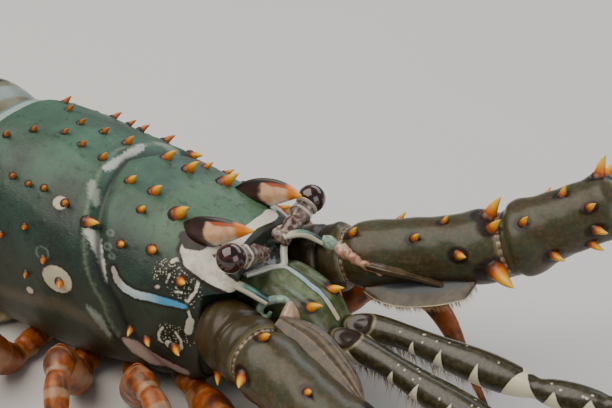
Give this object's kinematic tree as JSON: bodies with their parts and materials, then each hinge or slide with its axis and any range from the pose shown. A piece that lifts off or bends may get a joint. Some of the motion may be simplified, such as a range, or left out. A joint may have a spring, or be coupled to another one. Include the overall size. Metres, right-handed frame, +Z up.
{
  "type": "ornate spiny lobster",
  "caption": "Still life-size model of an ornate spiny lobster: spiny carapace, brow horns, thick spined antennae with long whips, legs, ringed tail and fan.",
  "frame": {"origin": "on the flat underside of the breast plate, under the middle of the carapace, at floor level", "axes": "+X towards the head, +Y to the animal's left, +Z up"},
  "size_m": [0.5942, 0.5422, 0.1213],
  "materials": {
    "carapace": "wet-looking chitin, dark green",
    "underside": "dull pale chitin",
    "horn": "glossy peach and dark brown chitin",
    "eye": "polished dark red-brown cornea",
    "eyestalk": "translucent grey skin",
    "antenna": "glossy olive-brown chitin",
    "antenna_whip": "ringed dark red-brown chitin",
    "antennule": "olive-brown chitin with cream bands",
    "leg": "orange-brown and cream chitin",
    "tail": "green chitin with dark bands",
    "tail_fan": "leathery rayed orange and green"
  },
  "bodies": {
    "root": {"carapace": "carapace", "horn_r": "horn", "horn_l": "horn", "eyestalk_r": "eyestalk", "eye_r": "eye", "eyestalk_l": "eyestalk", "eye_l": "eye", "antennular_plate": "carapace", "antenna_base_r": "antenna", "antenna_middle_r": "antenna", "antenna_outer_r": "antenna", "antenna_whip_near_r": "antenna_whip", "antenna_whip_far_r": "antenna_whip", "antenna_base_l": "antenna", "antenna_middle_l": "antenna", "antenna_outer_l": "antenna", "antenna_whip_near_l": "antenna_whip", "antenna_whip_far_l": "antenna_whip", "antennule_stem_r": "antennule", "antennule_outer_r": "antennule", "antennule_inner_r": "antennule", "antennule_stem_l": "antennule", "antennule_outer_l": "antennule", "antennule_inner_l": "antennule", "leg1_upper_r": "leg", "leg1_lower_r": "leg", "leg2_upper_r": "leg", "leg2_lower_r": "leg", "leg3_upper_r": "leg", "leg3_lower_r": "leg", "leg4_upper_r": "leg", "leg4_lower_r": "leg", "leg5_upper_r": "leg", "leg5_lower_r": "leg", "leg1_upper_l": "leg", "leg1_lower_l": "leg", "leg2_upper_l": "leg", "leg2_lower_l": "leg", "leg3_upper_l": "leg", "leg3_lower_l": "leg", "leg4_upper_l": "leg", "leg4_lower_l": "leg", "leg5_upper_l": "leg", "leg5_lower_l": "leg", "breast_plate": "underside", "maxilliped_r": "leg", "maxilliped_l": "leg", "tail_ring_1": "tail", "tail_ring_2": "tail", "tail_ring_3": "tail", "tail_ring_4": "tail", "tail_ring_5": "tail", "tail_ring_6": "tail", "telson": "tail_fan", "uropod_inner_r": "tail_fan", "uropod_outer_r": "tail_fan", "uropod_inner_l": "tail_fan", "uropod_outer_l": "tail_fan"}
  },
  "joints": []
}
